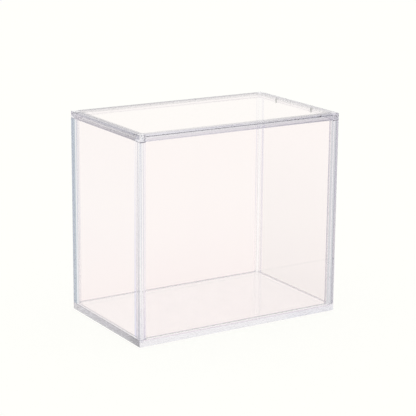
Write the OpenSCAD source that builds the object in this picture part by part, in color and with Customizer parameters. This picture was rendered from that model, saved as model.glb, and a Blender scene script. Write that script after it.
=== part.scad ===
/* [Overall] */
// Outer width of the box, left to right
box_w = 320; // [240:1:420]
// Outer depth of the box, front to back
box_d = 196; // [140:1:300]
// Outer height of the box
box_h = 290; // [160:1:400]

/* [Frame] */
// Side of the square posts and width of the top rails
bar = 10; // [9.5:0.1:13]
// Thickness of the base slab
base_t = 10; // [8:0.5:16]
// Height of the corner blocks, which is also the height of the top frame with its lid
block_h = 10; // [9.5:0.1:13]
// Bevel on the outer edges of the frame and the lid
edge_bevel = 0.5; // [0.3:0.1:0.8]
// Bevel on the edges of the wall panels
panel_bevel = 0.3; // [0.1:0.05:0.5]
// Thickness of the glue line where a post or rail meets its neighbour
glue_line = 0.1; // [0.02:0.01:0.2]

/* [Wall panels] */
// Thickness of the four wall panels
panel_t = 2.5; // [2:0.1:2.8]
// Depth of the panel groove in the base slab
base_groove = 3; // [2:0.1:4]
// Depth of the panel grooves in the posts
post_groove = 3; // [2:0.1:3]
// Depth of the panel grooves in the top rails
rail_groove = 4; // [3:0.1:4.2]
// Gap between a panel's face and the wall of its groove
panel_fit = 0.1; // [0.05:0.01:0.15]
// Gap between a panel's edge and the bottom of its groove
panel_edge_gap = 0.3; // [0.2:0.05:0.6]

/* [Pegs and tongues] */
// Diameter of the pegs at the ends of the posts
post_peg_d = 3.6; // [3:0.1:3.8]
// Length of the pegs at the ends of the posts
post_peg_l = 4; // [3:0.1:4.5]
// Width of the flat tongues at the ends of the top rails
tongue_w = 5; // [3:0.1:5.2]
// Thickness of the tongues
tongue_t = 1.4; // [1:0.1:1.6]
// Length of the tongues
tongue_l = 2.2; // [1.6:0.1:2.3]
// Gap round a peg or tongue in its socket
peg_fit = 0.05; // [0.02:0.01:0.08]
// Gap past the end of a peg or tongue in its socket
peg_end_gap = 0.2; // [0.1:0.05:0.3]

/* [Lid] */
// Thickness of the lid plate
lid_t = 3.5; // [3:0.1:3.8]
// Gap between the lid and the frame round it
lid_gap = 0.3; // [0.3:0.05:0.5]
// Width of the upright lip along the outer side of the left rail
lip_w = 2.6; // [1.5:0.1:2.7]

/* [Hinge] */
// Diameter of the two hinge pins
pin_d = 2; // [1.6:0.1:2.2]
// Gap round a hinge pin in the lid
pin_fit = 0.04; // [0.03:0.01:0.08]
// How far a pin goes into its corner block
pin_in_block = 6; // [4:0.1:7]
// How far a pin goes into the lid
pin_in_lid = 7; // [4:0.1:12]
// Gap past the end of a hinge pin in its hole
pin_end_gap = 0.2; // [0.1:0.05:0.4]

/* [Magnetic catch] */
// Diameter of the rod magnets in the right rail and of the keepers in the lid
magnet_d = 4; // [3:0.1:4.2]
// Wall of the boss round a rod magnet
boss_wall = 0.9; // [0.6:0.1:1.5]
// Clear plastic left over a rod magnet, at the top of the rail
magnet_roof = 0.4; // [0.2:0.05:0.8]
// Thickness of the steel keepers in the lid
keeper_t = 1.5; // [1:0.1:1.8]
// Distance of each magnet from the middle of the rail
magnet_offset = 44; // [25:1:55]
// Gap round a magnet or keeper in its pocket
magnet_fit = 0.05; // [0.02:0.01:0.1]
// How far the boss round a magnet is cut off by the panel groove
boss_trim = 0.2; // [0.1:0.05:0.4]

/* [Hidden] */
$fn = 48;
eps = 0.01;

half_w = box_w / 2;
half_d = box_d / 2;
inner_w = box_w - 2 * bar;
inner_d = box_d - 2 * bar;

// Levels above the floor
block_z = box_h - block_h;
post_h = block_z - base_t - 2 * glue_line;
rail_h = block_h - lid_t - lid_gap;
lid_z = box_h - lid_t;
hinge_z = box_h - lid_t / 2;
tongue_z = (rail_groove + rail_h) / 2;

// Places of the panels: each stands on the middle line of the bars
mid = bar / 2;
groove_w = panel_t + 2 * panel_fit;
panel_z = base_t - base_groove + panel_edge_gap;
panel_top = block_z + rail_groove - panel_edge_gap;
panel_h = panel_top - panel_z;

// The lid turns about the middle line of the left rail
hinge_x = mid - half_w;
lid_r = lid_t / 2;
// Its front and back edges start far enough out to swing clear of the corner blocks
notch_reach = sqrt(pow(mid + lid_gap, 2) + pow(lid_r, 2));

// The rod magnets stand beside the panel groove of the right rail
groove_side = half_w - mid - groove_w / 2;
magnet_x = groove_side - boss_wall + boss_trim - magnet_d / 2;
boss_r = magnet_d / 2 + boss_wall;
magnet_h = rail_h - magnet_roof;

// A rectangle with its four corners bevelled, centred
module bevelled_rect(w, h, b) {
    x = w / 2;
    y = h / 2;
    polygon([[b - x, -y], [x - b, -y], [x, b - y], [x, y - b],
        [x - b, y], [b - x, y], [-x, y - b], [-x, b - y]]);
}

// A box standing on z = 0, centred in plan, with all its edges bevelled
module bevelled_box(w, d, h, b) {
    intersection() {
        linear_extrude(h) bevelled_rect(w, d, b);
        translate([0, 0, h / 2]) rotate([90, 0, 90])
            linear_extrude(w + 1, center = true) bevelled_rect(d, h, b);
        translate([0, 0, h / 2]) rotate([90, 0, 0])
            linear_extrude(d + 1, center = true) bevelled_rect(w, h, b);
    }
}

// A peg of diameter d and length l that stands on the face at z = 0
module peg(d, l) {
    translate([0, 0, -eps]) cylinder(d = d, h = l + eps);
}

// The socket that takes such a peg, sunk upwards from z = 0
module socket(d, l) {
    translate([0, 0, -1]) cylinder(d = d + 2 * peg_fit, h = l + peg_end_gap + 1);
}

// The slot for a rail's tongue, cut along X, centred on the face it opens through
module tongue_socket() {
    cube([2 * (tongue_l + peg_end_gap), tongue_w + 2 * peg_fit, tongue_t + 2 * peg_fit], center = true);
}

// Turns what stands along Z so that it points to the back (1) or to the front (-1)
module along_y(side) {
    rotate([-90 * side, 0, 0]) children();
}

// Base: one thick slab with a groove for each panel and a socket for each post
module base_slab() {
    color([0.90, 0.91, 0.93, 0.6])
    difference() {
        bevelled_box(box_w, box_d, base_t, edge_bevel);
        for (s = [-1, 1]) {
            translate([0, s * (half_d - mid), base_t - base_groove / 2 + eps])
                cube([inner_w + 2 * post_groove, groove_w, base_groove + 2 * eps], center = true);
            translate([s * (half_w - mid), 0, base_t - base_groove / 2 + eps])
                cube([groove_w, inner_d + 2 * post_groove, base_groove + 2 * eps], center = true);
        }
        for (sx = [-1, 1], sy = [-1, 1]) {
            translate([sx * (half_w - mid), sy * (half_d - mid), base_t])
                mirror([0, 0, 1]) socket(post_peg_d, post_peg_l);
        }
    }
}

// Post: a square bar with two grooves that face its neighbours, and a peg at each end
module post(sx, sy) {
    color([0.86, 0.88, 0.92, 0.6])
    translate([sx * (half_w - mid), sy * (half_d - mid), base_t + glue_line]) {
        difference() {
            linear_extrude(post_h) bevelled_rect(bar, bar, edge_bevel);
            translate([-sx * (mid - post_groove / 2 + eps), 0, post_h / 2])
                cube([post_groove + 2 * eps, groove_w, post_h + 1], center = true);
            translate([0, -sy * (mid - post_groove / 2 + eps), post_h / 2])
                cube([groove_w, post_groove + 2 * eps, post_h + 1], center = true);
        }
        translate([0, 0, post_h]) peg(post_peg_d, post_peg_l);
        mirror([0, 0, 1]) peg(post_peg_d, post_peg_l);
    }
}

// Corner block: a bevelled cube with sockets for one post, two rails and, on the left, a hinge pin
module block(sx, sy) {
    color([0.93, 0.94, 0.96, 0.6])
    translate([sx * (half_w - mid), sy * (half_d - mid), block_z])
    difference() {
        bevelled_box(bar, bar, block_h, edge_bevel);
        socket(post_peg_d, post_peg_l);
        translate([-sx * mid, 0, tongue_z]) tongue_socket();
        translate([0, -sy * mid, tongue_z]) rotate(90) tongue_socket();
        if (sx < 0) {
            translate([0, -sy * mid, block_h - lid_r]) along_y(sy) pin_socket();
        }
    }
}

// The hole for a hinge pin in a corner block
module pin_socket() {
    translate([0, 0, -1]) cylinder(d = pin_d + 2 * peg_fit, h = pin_in_block + pin_end_gap + 1);
}

// Rail: a bar along X that fills the given gap between two blocks, grooved from below for a panel
module rail_bar(gap) {
    rotate([90, 0, 90]) linear_extrude(gap - 2 * glue_line, center = true) difference() {
        translate([0, rail_h / 2]) bevelled_rect(bar, rail_h, edge_bevel);
        translate([-groove_w / 2, -1]) square([groove_w, rail_groove + 1]);
    }
}

// The two flat tongues at the ends of a rail that runs along X
module rail_tongues(gap) {
    for (s = [-1, 1]) {
        translate([s * (gap / 2 + (tongue_l - glue_line) / 2), 0, tongue_z])
            cube([tongue_l + glue_line + 2 * eps, tongue_w, tongue_t], center = true);
    }
}

module rail_front() {
    color([0.85, 0.86, 0.89, 0.6])
    translate([0, mid - half_d, block_z]) {
        rail_bar(inner_w);
        rail_tongues(inner_w);
    }
}

module rail_back() {
    color([0.85, 0.86, 0.89, 0.6])
    translate([0, half_d - mid, block_z]) {
        rail_bar(inner_w);
        rail_tongues(inner_w);
    }
}

// The left rail has an upright lip that covers the hinge side of the lid
module rail_left() {
    color([0.80, 0.82, 0.86, 0.6])
    translate([mid - half_w, 0, block_z]) rotate(90) {
        rail_bar(inner_d);
        rail_tongues(inner_d);
        translate([glue_line - inner_d / 2, mid - lip_w, rail_h - edge_bevel])
            cube([inner_d - 2 * glue_line, lip_w, block_h - rail_h + edge_bevel]);
    }
}

// The right rail has two half-round bosses on its inner side that hold the rod magnets
module rail_right() {
    color([0.85, 0.86, 0.89, 0.6])
    difference() {
        union() {
            translate([half_w - mid, 0, block_z]) rotate(90) {
                rail_bar(inner_d);
                rail_tongues(inner_d);
            }
            for (s = [-1, 1]) {
                translate([magnet_x, s * magnet_offset, block_z]) magnet_boss();
            }
        }
        for (s = [-1, 1]) {
            translate([magnet_x, s * magnet_offset, block_z - 1])
                cylinder(d = magnet_d + 2 * magnet_fit, h = magnet_h + 1 + magnet_fit);
        }
    }
}

// A boss for a rod magnet, cut off where the panel groove begins
module magnet_boss() {
    intersection() {
        cylinder(r = boss_r, h = rail_h);
        translate([groove_side - magnet_x - 4 * boss_r, -2 * boss_r, 0])
            cube([4 * boss_r, 4 * boss_r, rail_h]);
    }
}

// A wall panel that spans the given gap between two posts, along X: a flat sheet that stands in
// the grooves, with its top corners notched round the corner blocks
module panel(gap) {
    width = gap + 2 * (post_groove - panel_edge_gap);
    notch_z = block_z - panel_edge_gap - panel_z;
    difference() {
        bevelled_box(width, panel_t, panel_h, panel_bevel);
        for (s = [-1, 1]) {
            translate([s * (gap / 2 - panel_edge_gap + bar), 0, notch_z + bar])
                cube([2 * bar, bar, 2 * bar], center = true);
        }
    }
}

module panel_x(sy) {
    color([0.97, 0.94, 0.93, 0.35])
    translate([0, sy * (half_d - mid), panel_z])
        panel(inner_w);
}

module panel_y(sx) {
    color([0.97, 0.94, 0.93, 0.35])
    translate([sx * (half_w - mid), 0, panel_z])
        rotate(90) panel(inner_d);
}

// Lid: a plate over the rails, notched round the corner blocks, with a round hinge edge
module lid() {
    color([0.97, 0.95, 0.94, 0.4])
    difference() {
        union() {
            lid_plate();
            translate([hinge_x, 0, hinge_z]) rotate([90, 0, 0])
                cylinder(r = lid_r, h = inner_d - 2 * lid_gap, center = true);
        }
        for (s = [-1, 1]) {
            translate([hinge_x, s * (inner_d / 2 - lid_gap), hinge_z]) along_y(-s)
                translate([0, 0, -1]) cylinder(d = pin_d + 2 * pin_fit, h = pin_in_lid + pin_end_gap + 1);
            translate([magnet_x, s * magnet_offset, lid_z - 1])
                cylinder(d = magnet_d + 2 * magnet_fit, h = keeper_t + 1 + magnet_fit);
        }
    }
}

// The flat part of the lid: the full depth between the blocks, narrower beside them
module lid_plate() {
    left_notch = hinge_x + notch_reach;
    right_notch = half_w - bar - lid_gap;
    side = inner_d / 2 - lid_gap;
    translate([0, 0, lid_z]) intersection() {
        bevelled_box(box_w, box_d, lid_t, edge_bevel);
        linear_extrude(lid_t)
            polygon([[hinge_x, -side], [left_notch, -side], [left_notch, -half_d], [right_notch, -half_d],
                [right_notch, -side], [half_w, -side], [half_w, side], [right_notch, side],
                [right_notch, half_d], [left_notch, half_d], [left_notch, side], [hinge_x, side]]);
    }
}

// Two plain pins that join the lid to the left corner blocks
module hinge_pins() {
    color("silver")
    for (s = [-1, 1]) {
        translate([hinge_x, s * (inner_d / 2 + pin_in_block), hinge_z]) along_y(-s)
            cylinder(d = pin_d, h = pin_in_block + lid_gap + pin_in_lid);
    }
}

// Rod magnets, pushed up into the bosses from below
module rail_magnets() {
    color("dimgray")
    for (s = [-1, 1]) {
        translate([magnet_x, s * magnet_offset, block_z]) cylinder(d = magnet_d, h = magnet_h);
    }
}

// Steel discs let into the underside of the lid, over the magnets
module lid_keepers() {
    color("gray")
    for (s = [-1, 1]) {
        translate([magnet_x, s * magnet_offset, lid_z]) cylinder(d = magnet_d, h = keeper_t);
    }
}

base_slab();
post(-1, -1);  // post_front_left
post(1, -1);  // post_front_right
post(-1, 1);  // post_back_left
post(1, 1);  // post_back_right
block(-1, -1);  // block_front_left
block(1, -1);  // block_front_right
block(-1, 1);  // block_back_left
block(1, 1);  // block_back_right
rail_front();
rail_back();
rail_left();
rail_right();
panel_x(-1);  // panel_front
panel_x(1);  // panel_back
panel_y(-1);  // panel_left
panel_y(1);  // panel_right
lid();
hinge_pins();
rail_magnets();
lid_keepers();
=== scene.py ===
import math
import bpy
from mathutils import Matrix, Vector


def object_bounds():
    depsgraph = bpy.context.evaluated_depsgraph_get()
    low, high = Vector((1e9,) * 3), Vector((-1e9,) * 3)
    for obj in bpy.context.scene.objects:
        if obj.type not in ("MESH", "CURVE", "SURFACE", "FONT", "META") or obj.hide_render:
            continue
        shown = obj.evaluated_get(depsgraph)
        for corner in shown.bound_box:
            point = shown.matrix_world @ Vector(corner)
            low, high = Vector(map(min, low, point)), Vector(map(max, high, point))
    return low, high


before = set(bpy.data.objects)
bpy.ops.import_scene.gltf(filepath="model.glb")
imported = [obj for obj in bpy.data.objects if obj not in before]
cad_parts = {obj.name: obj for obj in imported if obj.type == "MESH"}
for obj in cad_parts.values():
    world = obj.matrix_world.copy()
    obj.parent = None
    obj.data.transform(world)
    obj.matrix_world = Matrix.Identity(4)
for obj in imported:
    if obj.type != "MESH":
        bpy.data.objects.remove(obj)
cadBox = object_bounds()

left, front, foot = cadBox[0]
right, back, top = cadBox[1]
print("frame loaded:", len(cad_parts), "nodes")

for obj in bpy.context.selected_objects:  # the loaded pieces come in selected
    obj.select_set(False)


def newMaterial(name):
    mat = bpy.data.materials.new(name)
    mat.use_nodes = True
    mat.node_tree.nodes.clear()
    return mat


def addNode(tree, kind, place, **values):
    node = tree.nodes.new(kind)
    node.location = place
    for key, value in values.items():
        setattr(node, key, value)
    return node


def feed(tree, socket, value):
    # a socket takes a link from another node, a colour, or a plain value
    if isinstance(value, bpy.types.NodeSocket):
        tree.links.new(value, socket)
    elif socket.type == "RGBA":
        socket.default_value = (*value, 1)
    else:
        socket.default_value = value


def calculate(tree, operation, place, *values):
    result = addNode(tree, "ShaderNodeMath", place, operation=operation)
    for socket, value in zip(result.inputs, values):
        feed(tree, socket, value)
    return result.outputs["Value"]


def ramp(tree, source, place, start, end, low=0.0, high=1.0, curve="LINEAR"):
    # low where the source is at start, high where it is at end
    ranged = addNode(tree, "ShaderNodeMapRange", place, interpolation_type=curve)
    ends = {"Value": source, "From Min": start, "From Max": end, "To Min": low, "To Max": high}
    for name, value in ends.items():
        feed(tree, ranged.inputs[name], value)
    return ranged.outputs["Result"]


def mixColours(tree, place, factor, first, second, blend="MIX"):
    mix = addNode(tree, "ShaderNodeMix", place, data_type="RGBA", blend_type=blend)
    colours = [socket for socket in mix.inputs if socket.type == "RGBA"]
    for socket, value in zip((mix.inputs["Factor"], *colours), (factor, first, second)):
        feed(tree, socket, value)
    return next(socket for socket in mix.outputs if socket.type == "RGBA")


def objectNoise(tree, coords, place, scale, detail):
    noise = addNode(tree, "ShaderNodeTexNoise", place)
    feed(tree, noise.inputs["Scale"], scale)
    feed(tree, noise.inputs["Detail"], detail)
    feed(tree, noise.inputs["Vector"], coords.outputs["Object"])
    return noise.outputs["Fac"]


noiseSpan = (0.3, 0.7)  # nearly all of a noise pattern lies between these values


def roughness(tree, pattern, place, look):
    return ramp(tree, pattern, place, *noiseSpan, look["roughLow"], look["roughHigh"])


def ripples(tree, pattern, place, strength, height):
    bump = addNode(tree, "ShaderNodeBump", place)
    feed(tree, bump.inputs["Strength"], strength)
    feed(tree, bump.inputs["Distance"], height)
    feed(tree, bump.inputs["Height"], pattern)
    return bump.outputs["Normal"]


# a white studio; light that has been turned inside the bars finds its sides a little greyer, except
# where it comes out towards the far side of the box
studio = {
    "white": (1.0, 1.0, 0.965), "roof": (1.0, 1.0, 1.0), "roofFrom": 0.35, "roofTo": 0.75, "level": 1.0,
    "side": (0.90, 0.91, 0.95), "towards": (0.527, 0.850, 0), "whiteFrom": 0.50, "whiteTo": 0.93,
    "leastTurns": 0.5,
}


def sideShade(tree, direction, place, away=None):
    x, y = place
    along = addNode(tree, "ShaderNodeVectorMath", (x, y), operation="DOT_PRODUCT")
    feed(tree, along.inputs[0], direction)
    feed(tree, along.inputs[1], studio["towards"])
    facing = ramp(tree, along.outputs["Value"], (x + 200, y), studio["whiteFrom"], studio["whiteTo"],
                  curve="SMOOTHSTEP")
    grey = mixColours(tree, (x + 400, y), facing, studio["side"], (1, 1, 1))
    path = addNode(tree, "ShaderNodeLightPath", (x, y + 350))
    turns = path.outputs["Glossy Depth"]
    turned = calculate(tree, "GREATER_THAN", (x + 200, y + 300), turns, studio["leastTurns"])
    if away is not None:
        turned = calculate(tree, "MULTIPLY", (x + 400, y + 300), turned, away)
    return mixColours(tree, (x + 600, y), turned, (1, 1, 1), grey)


# places on the box where shade is painted, in metres: axis, middle and half width; a thin one holds a
# single face
bar = 0.010
skin = 0.0006
places = {
    "front": ("Y", front, skin), "back": ("Y", back, skin),
    "left": ("X", left, skin), "right": ("X", right, skin),
    "innerBack": ("Y", back - bar, skin), "innerRight": ("X", right - bar, skin),
    "overFront": ("Y", front + 0.0050, 0.0048), "overBack": ("Y", back - 0.0048, 0.0055),
    "overLeft": ("X", left + 0.0050, 0.0052), "overRight": ("X", right - 0.0050, 0.0055),
    "rightHalf": ("X", right / 2, right / 2), "wallHeight": ("Z", (foot + top) / 2, 0.1400),
    "lidTop": ("Z", top, 0.0003), "lidSeam": ("Z", top - 0.0030, 0.0007),
    "underLid": ("Z", top - 0.0046, 0.0013), "blockTop": ("Z", top - 0.0028, 0.0032),
    "blockSeam": ("Z", top - bar, 0.0008), "leftBlocks": ("X", left + 0.0082, 0.0012),
    "footSeam": ("Z", foot + bar, 0.0008), "panelFoot": ("Z", foot + bar + 0.0003, 0.0008),
    "slabTop": ("Z", foot + bar, 0.0004), "slabEnd": ("Y", front + 0.0140, 0.0142),
    "leftLedge": ("X", left + 0.0018, 0.0024), "nearLeft": ("X", left + 0.0020, 0.0023),
    "nearRight": ("X", right - 0.0033, 0.0037), "postEdge": ("Y", front + 0.0067, 0.0012),
    "postLine": ("X", right - 0.0023, 0.0009), "postRim": ("X", right - 0.0004, skin),
    "cornerEdge": ("Y", front + 0.0017, 0.0019), "byPost": ("Y", front + 0.0176, 0.0036),
    "wallOuter": ("X", left + 0.00375, skin),
}
# a zone that fades does so along the axis given here for its first place, between the two ends
fadeAlong = {
    "X": ("Y", front + 0.008, back - 0.008),
    "Y": ("X", left + bar, right - bar),
    "Z": ("Z", foot + bar, top - bar),
}


def zone(colour, *names, last=None):
    # painted shade: a part of a piece, where all the named places meet, darkened to stand in for the
    # shade and the dark refracted lines that the clear plastic shows there; where a last colour is
    # given, it fades to that
    return {"places": [places[name] for name in names], "colour": colour, "last": last}


def zoneMask(tree, split, ranges, place):
    # 1 where the point lies in all the ranges, 0 elsewhere
    x, y = place
    mask = None
    for step, (axis, middle, half) in enumerate(ranges):
        across = x + 160 * step
        inside = calculate(tree, "COMPARE", (across, y), split.outputs[axis], middle, half)
        mask = inside if mask is None else calculate(tree, "MULTIPLY", (across, y - 160), mask, inside)
    return mask


def zoneColour(tree, split, part, place):
    if part["last"] is None:
        return part["colour"]
    x, y = place
    axis, start, end = fadeAlong[part["places"][0][0]]
    along = ramp(tree, split.outputs[axis], place, start, end)
    return mixColours(tree, (x + 160, y), along, part["colour"], part["last"])


def tintWithPaintedShade(tree, coords, look):
    # a faint tint that drifts a little, with painted shade that darkens it towards the foot and in the
    # shaded patches
    split = addNode(tree, "ShaderNodeSeparateXYZ", (-1300, 500))
    feed(tree, split.inputs[0], coords.outputs["Object"])
    drift = objectNoise(tree, coords, (-1100, 200), *look["drift"])
    tint = mixColours(tree, (-900, 200), drift, look["tint"], look["tintEnd"])
    # painted shade: from the look's low colour at the foot up to the plain tint at lowTo
    if look["low"] is not None:
        rise = ramp(tree, split.outputs["Z"], (-900, 450), foot + bar, look["lowTo"])
        tint = mixColours(tree, (-700, 450), rise, look["low"], tint)
    # patches of painted shade laid over the tint
    for step, part in enumerate(look["shadeZones"]):
        x, y = -900 + 220 * step, 700 + 260 * step
        mask = zoneMask(tree, split, part["places"], (x, y))
        shadeColour = zoneColour(tree, split, part, (x, y + 200))
        tint = mixColours(tree, (x, 200), mask, tint, shadeColour)
    return tint


def clearPlastic(name, look):
    # polished plastic that bends light and casts only a faint shadow
    mat = newMaterial(name)
    tree = mat.node_tree
    coords = addNode(tree, "ShaderNodeTexCoord", (-1500, 0))
    smears = objectNoise(tree, coords, (-1100, -50), *look["smears"])
    waves = objectNoise(tree, coords, (-1100, -300), *look["waves"])
    plastic = addNode(tree, "ShaderNodeBsdfPrincipled", (400, 100))
    feed(tree, plastic.inputs["Transmission Weight"], 1.0)
    feed(tree, plastic.inputs["IOR"], look["bend"])
    feed(tree, plastic.inputs["Specular Tint"], look["glint"])
    feed(tree, plastic.inputs["Base Color"], tintWithPaintedShade(tree, coords, look))
    feed(tree, plastic.inputs["Roughness"], roughness(tree, smears, (-900, -50), look))
    feed(tree, plastic.inputs["Normal"], ripples(tree, waves, (-900, -300), 1.0, look["waveHeight"]))
    path = addNode(tree, "ShaderNodeLightPath", (500, 400))
    passing = addNode(tree, "ShaderNodeBsdfTransparent", (500, -200))
    feed(tree, passing.inputs["Color"], look["shade"])
    final = addNode(tree, "ShaderNodeMixShader", (750, 0))
    feed(tree, final.inputs["Fac"], path.outputs["Is Shadow Ray"])
    feed(tree, final.inputs[1], plastic.outputs["BSDF"])
    feed(tree, final.inputs[2], passing.outputs["BSDF"])
    out = addNode(tree, "ShaderNodeOutputMaterial", (950, 0))
    feed(tree, out.inputs["Surface"], final.outputs["Shader"])
    return mat


# drift, smears and waves are noise patterns, each with its scale and detail
polish = {
    "tint": (1.0, 1.0, 1.0), "tintEnd": (0.99, 0.99, 1.0), "drift": (9, 2), "low": None, "shadeZones": [],
    "smears": (40, 3), "roughLow": 0.0, "roughHigh": 0.004, "waves": (60, 1), "waveHeight": 0.0000005,
    "bend": 1.49, "glint": (0.4, 0.4, 0.4), "shade": (0.985, 0.985, 0.99),
}
seamShade = (0.14, 0.13, 0.16)  # painted shade where a joint or rebate shows as a dark line

# posts, with painted shade on their seams, faces and feet
# painted shade along the block seam and the foot seam on the front face
lightPost = {**polish, "tintEnd": (0.985, 0.985, 1.0), "shadeZones": [
    zone(seamShade, "blockSeam", "front"),
    zone((0.50, 0.50, 0.53), "footSeam", "front"),
]}
# painted shade: dark lines on the inner back face
farPost = {**lightPost, "shadeZones": [
    *lightPost["shadeZones"],
    zone((0.84, 0.83, 0.92), "innerBack", "postLine"),
    zone((0.70, 0.69, 0.80), "innerBack", "postRim"),
]}
# painted shade: darker towards the foot, and on the left face up the wall, most by the corner edge
cornerPost = {**lightPost, "low": (0.92, 0.92, 0.96), "lowTo": 0.09, "shadeZones": [
    *lightPost["shadeZones"],
    zone((0.68, 0.68, 0.74), "wallHeight", "left", last=(1.0, 1.0, 1.0)),
    zone((0.50, 0.50, 0.56), "wallHeight", "left", "cornerEdge", last=(1.0, 1.0, 1.0)),
]}
# painted shade on the left face and beside it
leftPost = {**polish, "shadeZones": [
    zone((0.72, 0.73, 0.79), "nearLeft"),
    zone((0.26, 0.32, 0.41), "left"),
]}
# painted shade: a darker tint all over, with darker front, inner and right faces
rightPost = {**polish, "tint": (0.97, 0.96, 0.98), "tintEnd": (0.96, 0.95, 0.97), "shadeZones": [
    zone((0.47, 0.48, 0.55), "nearRight", "front"),
    zone((0.60, 0.60, 0.65), "postEdge", "innerRight"),
    zone((0.45, 0.46, 0.52), "right"),
    zone(seamShade, "blockSeam", "front"),
    zone((0.30, 0.30, 0.32), "footSeam", "front"),
]}

# corner blocks and rails, with painted shade on their seams and faces
# painted shade along the seams, on the left face and on the front of the left blocks
cornerBlock = {**polish, "tint": (1.0, 0.995, 1.0), "tintEnd": (0.99, 0.985, 0.995), "shadeZones": [
    zone(seamShade, "blockSeam", "front"),
    zone(seamShade, "blockSeam", "left"),
    zone((0.44, 0.43, 0.48), "left", "blockTop"),
    zone((0.35, 0.34, 0.38), "leftBlocks", "front"),
]}
# painted shade: the right blocks are a darker copy of the left ones
shadedBlock = {**cornerBlock, "tint": (0.90, 0.89, 0.92), "tintEnd": (0.88, 0.87, 0.90), "shadeZones": [
    *cornerBlock["shadeZones"],
    zone((0.60, 0.60, 0.66), "nearRight", "front"),
]}
# painted shade: a darker tint, and a front face that darkens along the rail
frontRail = {**polish, "tint": (0.97, 0.97, 0.985), "tintEnd": (0.96, 0.96, 0.975), "shadeZones": [
    zone((0.71, 0.72, 0.79), "front", last=(0.50, 0.505, 0.57)),
    zone(seamShade, "front", "lidSeam"),
]}
# painted shade: a darker tint, a dark left face and a dark top
leftRail = {**polish, "tint": (0.95, 0.95, 0.965), "tintEnd": (0.94, 0.94, 0.955), "shadeZones": [
    zone((0.38, 0.375, 0.415), "left", last=(0.56, 0.55, 0.60)),
    zone((0.42, 0.41, 0.46), "lidTop"),
]}
# painted shade on the back and right faces, and dark inner faces under the lid
plainRail = {**polish, "tint": (1.0, 0.99, 1.0), "tintEnd": (0.99, 0.98, 0.99), "shadeZones": [
    zone((0.90, 0.88, 0.92), "back"),
    zone((0.85, 0.83, 0.88), "right"),
    zone((0.45, 0.44, 0.47), "innerBack", "underLid"),
    zone((0.42, 0.41, 0.44), "innerRight", "underLid"),
]}

# the slab is a little duller than the bars, so it mirrors the posts only faintly
baseSlab = {
    **polish, "tint": (1.0, 0.985, 0.995), "tintEnd": (1.0, 0.977, 0.989),
    "roughLow": 0.08, "roughHigh": 0.12,
    # painted shade on the left face and its near end, the ledge on the top, and the front face
    "shadeZones": [
        zone((0.36, 0.35, 0.395), "left", last=(0.57, 0.56, 0.62)),
        zone((0.195, 0.19, 0.22), "left", "slabEnd", last=(1.0, 1.0, 1.0)),
        zone((0.75, 0.74, 0.79), "slabTop", "leftLedge"),
        zone((0.85, 0.85, 0.93), "front", last=(0.83, 0.83, 0.92)),
    ],
}

# sheets of the walls and the lid, with painted shade
sheet = {**polish, "drift": (5, 2), "glint": (0.15, 0.15, 0.15)}
wallSheet = {
    **sheet, "tint": (0.996, 0.966, 0.970), "tintEnd": (0.992, 0.960, 0.966),
    # painted shade: darker towards the foot, with a dark line at the foot
    "low": (0.983, 0.938, 0.948), "lowTo": 0.15, "smears": (25, 3), "waves": (14, 1),
    "waveHeight": 0.000001, "shade": (0.99, 0.985, 0.985),
    "shadeZones": [zone((0.66, 0.66, 0.69), "panelFoot")],
}
# painted shade: a bluish strip up the outer face beside the post
leftSheet = {**wallSheet, "shadeZones": [
    zone((0.60, 0.63, 0.86), "wallHeight", "byPost", "wallOuter", last=(0.96, 0.95, 0.99)),
]}
# painted shade: darker towards the foot than the other walls
rightSheet = {**wallSheet, "low": (0.925, 0.903, 0.908), "lowTo": 0.24}
# painted shade along the lid's front, back and right edges
lidEdgeShade = {"colour": (0.78, 0.765, 0.83), "last": (0.70, 0.685, 0.765)}
# painted shade: darker strips along the lid's edges and over the rails, standing in for the rails seen
# through it
lidSheet = {**sheet, "tint": (1.0, 0.972, 0.974), "tintEnd": (0.998, 0.967, 0.970), "shadeZones": [
    zone((0.52, 0.51, 0.57), "overFront", "lidTop", last=(0.50, 0.49, 0.55)),
    zone((0.30, 0.285, 0.33), "overBack", "lidTop"),
    zone((0.46, 0.45, 0.50), "overRight", "lidTop"),
    zone((0.80, 0.79, 0.86), "overFront", "lidTop", "rightHalf", last=(0.22, 0.215, 0.26)),
    *(zone(lidEdgeShade["colour"], side, last=lidEdgeShade["last"]) for side in ("front", "back", "right")),
    zone((1.0, 1.0, 1.0), "front", "rightHalf", last=(0.46, 0.45, 0.50)),
    zone((0.38, 0.37, 0.42), "overLeft", "lidTop"),
    zone(seamShade, "front", "lidSeam"),
]}

clearFinishes = {
    "farPost": (farPost, ["post_back_right"]),
    "cornerPost": (cornerPost, ["post_front_left"]),
    "leftPost": (leftPost, ["post_back_left"]),
    "rightPost": (rightPost, ["post_front_right"]),
    "cornerBlock": (cornerBlock, ["block_front_left", "block_back_left"]),
    "shadedBlock": (shadedBlock, ["block_front_right", "block_back_right"]),
    "frontRail": (frontRail, ["rail_front"]),
    "leftRail": (leftRail, ["rail_left"]),
    "plainRail": (plainRail, ["rail_back", "rail_right"]),
    "baseSlab": (baseSlab, ["base_slab"]),
    "wallSheet": (wallSheet, ["panel_front", "panel_back"]),
    "leftSheet": (leftSheet, ["panel_left"]),
    "rightSheet": (rightSheet, ["panel_right"]),
    "lidSheet": (lidSheet, ["lid"]),
}


def giveFinish(node, finish):
    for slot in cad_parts[node].material_slots:
        slot.material = finish


for name, (look, nodes) in clearFinishes.items():
    finish = clearPlastic(name, look)
    for node in nodes:
        giveFinish(node, finish)
print("clear plastics set:", len(clearFinishes))


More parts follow.
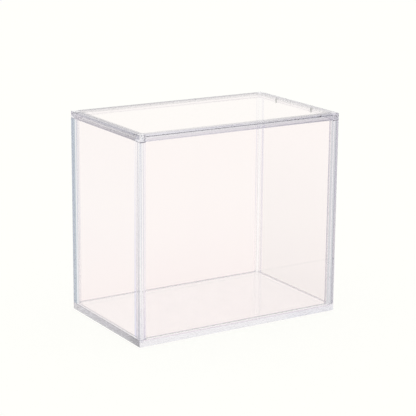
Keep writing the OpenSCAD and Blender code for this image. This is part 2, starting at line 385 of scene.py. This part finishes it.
def turnedMetal(name, look):
    mat = newMaterial(name)
    tree = mat.node_tree
    coords = addNode(tree, "ShaderNodeTexCoord", (-1100, 0))
    grain = objectNoise(tree, coords, (-900, 100), *look["grain"])
    metal = addNode(tree, "ShaderNodeBsdfPrincipled", (-300, 0))
    feed(tree, metal.inputs["Metallic"], 1.0)
    feed(tree, metal.inputs["Base Color"],
         mixColours(tree, (-600, 200), grain, look["colour"], look["colourEnd"]))
    feed(tree, metal.inputs["Roughness"], roughness(tree, grain, (-600, 0), look))
    feed(tree, metal.inputs["Normal"],
         ripples(tree, grain, (-600, -250), look["grainStrength"], look["grainHeight"]))
    out = addNode(tree, "ShaderNodeOutputMaterial", (0, 0))
    feed(tree, out.inputs["Surface"], metal.outputs["BSDF"])
    return mat


# hinge pins are brighter steel than the magnets and their keepers
pinSteel = {
    "colour": (0.72, 0.73, 0.75), "colourEnd": (0.60, 0.61, 0.63), "roughLow": 0.2, "roughHigh": 0.35,
    "grain": (900, 6), "grainStrength": 0.4, "grainHeight": 0.00002,
}
magnetMetal = {
    **pinSteel, "colour": (0.09, 0.09, 0.10), "colourEnd": (0.05, 0.05, 0.06), "grain": (1200, 6),
    "roughLow": 0.35, "roughHigh": 0.5,
}
keeperSteel = {
    **magnetMetal, "colour": (0.16, 0.16, 0.17), "colourEnd": (0.11, 0.11, 0.12), "grain": (1500, 6),
}
giveFinish("hinge_pins", turnedMetal("pinSteel", pinSteel))
giveFinish("rail_magnets", turnedMetal("magnetMetal", magnetMetal))
giveFinish("lid_keepers", turnedMetal("keeperSteel", keeperSteel))
print("metals set")


# the floor: dim paint that takes the box's shadow, and a glow that keeps it nearly white to the eye;
# the greyer sides of the studio reach it only away from the box
floorLook = {
    "size": 40.0, "drop": 0.0004, "paint": (0.10, 0.10, 0.099), "fill": (0.905, 0.905, 0.871),
    "greyFrom": 0.25, "greyTo": 0.6,
}


def floorPaint():
    mat = newMaterial("floorPaint")
    tree = mat.node_tree
    coords = addNode(tree, "ShaderNodeTexCoord", (-1100, 0))
    outward = addNode(tree, "ShaderNodeVectorMath", (-1100, 500), operation="NORMALIZE")
    feed(tree, outward.inputs[0], coords.outputs["Object"])
    reach = addNode(tree, "ShaderNodeVectorMath", (-1100, 800), operation="LENGTH")
    feed(tree, reach.inputs[0], coords.outputs["Object"])
    away = ramp(tree, reach.outputs["Value"], (-900, 1000), floorLook["greyFrom"], floorLook["greyTo"],
                curve="SMOOTHSTEP")
    shade = sideShade(tree, outward.outputs["Vector"], (-900, 500), away)
    paint = addNode(tree, "ShaderNodeBsdfDiffuse", (-100, 0))
    feed(tree, paint.inputs["Color"],
         mixColours(tree, (-300, 0), 1.0, floorLook["paint"], shade, "MULTIPLY"))
    glow = addNode(tree, "ShaderNodeEmission", (-100, -200))
    feed(tree, glow.inputs["Color"],
         mixColours(tree, (-300, -200), 1.0, floorLook["fill"], shade, "MULTIPLY"))
    path = addNode(tree, "ShaderNodeLightPath", (-900, -300))
    seen = path.outputs["Is Camera Ray"]
    for step, ray in enumerate(("Is Glossy Ray", "Is Transmission Ray")):
        seen = calculate(tree, "MAXIMUM", (-700 + 200 * step, -300), seen, path.outputs[ray])
    feed(tree, glow.inputs["Strength"], seen)
    both = addNode(tree, "ShaderNodeAddShader", (100, 0))
    feed(tree, both.inputs[0], paint.outputs["BSDF"])
    feed(tree, both.inputs[1], glow.outputs["Emission"])
    out = addNode(tree, "ShaderNodeOutputMaterial", (300, 0))
    feed(tree, out.inputs["Surface"], both.outputs["Shader"])
    return mat


bpy.ops.mesh.primitive_plane_add(size=floorLook["size"], location=(0, 0, -floorLook["drop"]))
floor = bpy.context.active_object
floor.name = "floor"
floor.data.materials.append(floorPaint())
print("floor laid")


def studioWorld():
    world = bpy.data.worlds.new("studio")
    world.use_nodes = True
    tree = world.node_tree
    tree.nodes.clear()
    coords = addNode(tree, "ShaderNodeTexCoord", (-1300, 0))
    split = addNode(tree, "ShaderNodeSeparateXYZ", (-1100, 0))
    feed(tree, split.inputs[0], coords.outputs["Generated"])
    level = addNode(tree, "ShaderNodeCombineXYZ", (-900, 200))
    feed(tree, level.inputs["X"], split.outputs["X"])
    feed(tree, level.inputs["Y"], split.outputs["Y"])
    outward = addNode(tree, "ShaderNodeVectorMath", (-700, 200), operation="NORMALIZE")
    feed(tree, outward.inputs[0], level.outputs[0])
    shade = sideShade(tree, outward.outputs["Vector"], (-500, 300))
    walls = mixColours(tree, (-300, 200), 1.0, studio["white"], shade, "MULTIPLY")
    height = ramp(tree, split.outputs["Z"], (-700, -100), studio["roofFrom"], studio["roofTo"],
                  curve="SMOOTHSTEP")
    light = addNode(tree, "ShaderNodeBackground", (-50, 100))
    feed(tree, light.inputs["Strength"], studio["level"])
    feed(tree, light.inputs["Color"], mixColours(tree, (-300, 100), height, walls, studio["roof"]))
    plain = addNode(tree, "ShaderNodeBackground", (-50, -100))
    feed(tree, plain.inputs["Color"], studio["white"])
    path = addNode(tree, "ShaderNodeLightPath", (-300, 400))
    pick = addNode(tree, "ShaderNodeMixShader", (150, 0))
    feed(tree, pick.inputs["Fac"], path.outputs["Is Camera Ray"])
    feed(tree, pick.inputs[1], light.outputs[0])
    feed(tree, pick.inputs[2], plain.outputs[0])
    out = addNode(tree, "ShaderNodeOutputWorld", (350, 0))
    feed(tree, out.inputs["Surface"], pick.outputs[0])
    return world


bpy.context.scene.world = studioWorld()
print("world set")


# metres and degrees, with millimetres for the lens and the sensor; the roll tilts the camera sideways
view = {
    "eye": (-1.07702, -1.74443, 0.67562), "azimuth": -31.840, "height": 14.350, "roll": 0.489,
    "lens": 128.83, "sensor": 36, "farthest": 200,
}
azimuth, height, roll = (math.radians(view[angle]) for angle in ("azimuth", "height", "roll"))
level = math.cos(height)
backward = Vector((math.sin(azimuth) * level, -math.cos(azimuth) * level, math.sin(height)))
sideways = (-backward).cross(Vector((0, 0, 1))).normalized()
upward = sideways.cross(-backward)
turnedSide = sideways * math.cos(roll) + upward * math.sin(roll)
turnedUp = upward * math.cos(roll) - sideways * math.sin(roll)
bpy.ops.object.camera_add(location=view["eye"])
camera = bpy.context.active_object
camera.rotation_euler = Matrix((turnedSide, turnedUp, backward)).transposed().to_euler()
camera.data.sensor_width = view["sensor"]
camera.data.lens = view["lens"]
camera.data.clip_end = view["farthest"]
scene = bpy.context.scene
scene.camera = camera
scene.view_settings.view_transform = "Standard"

# light turns many times inside the bars before it comes out
turnsInBars = 400
turnsInShadows = 24
scene.cycles.max_bounces = turnsInBars
scene.cycles.glossy_bounces = turnsInBars
scene.cycles.transmission_bounces = turnsInBars
scene.cycles.transparent_max_bounces = turnsInShadows
print("camera set")
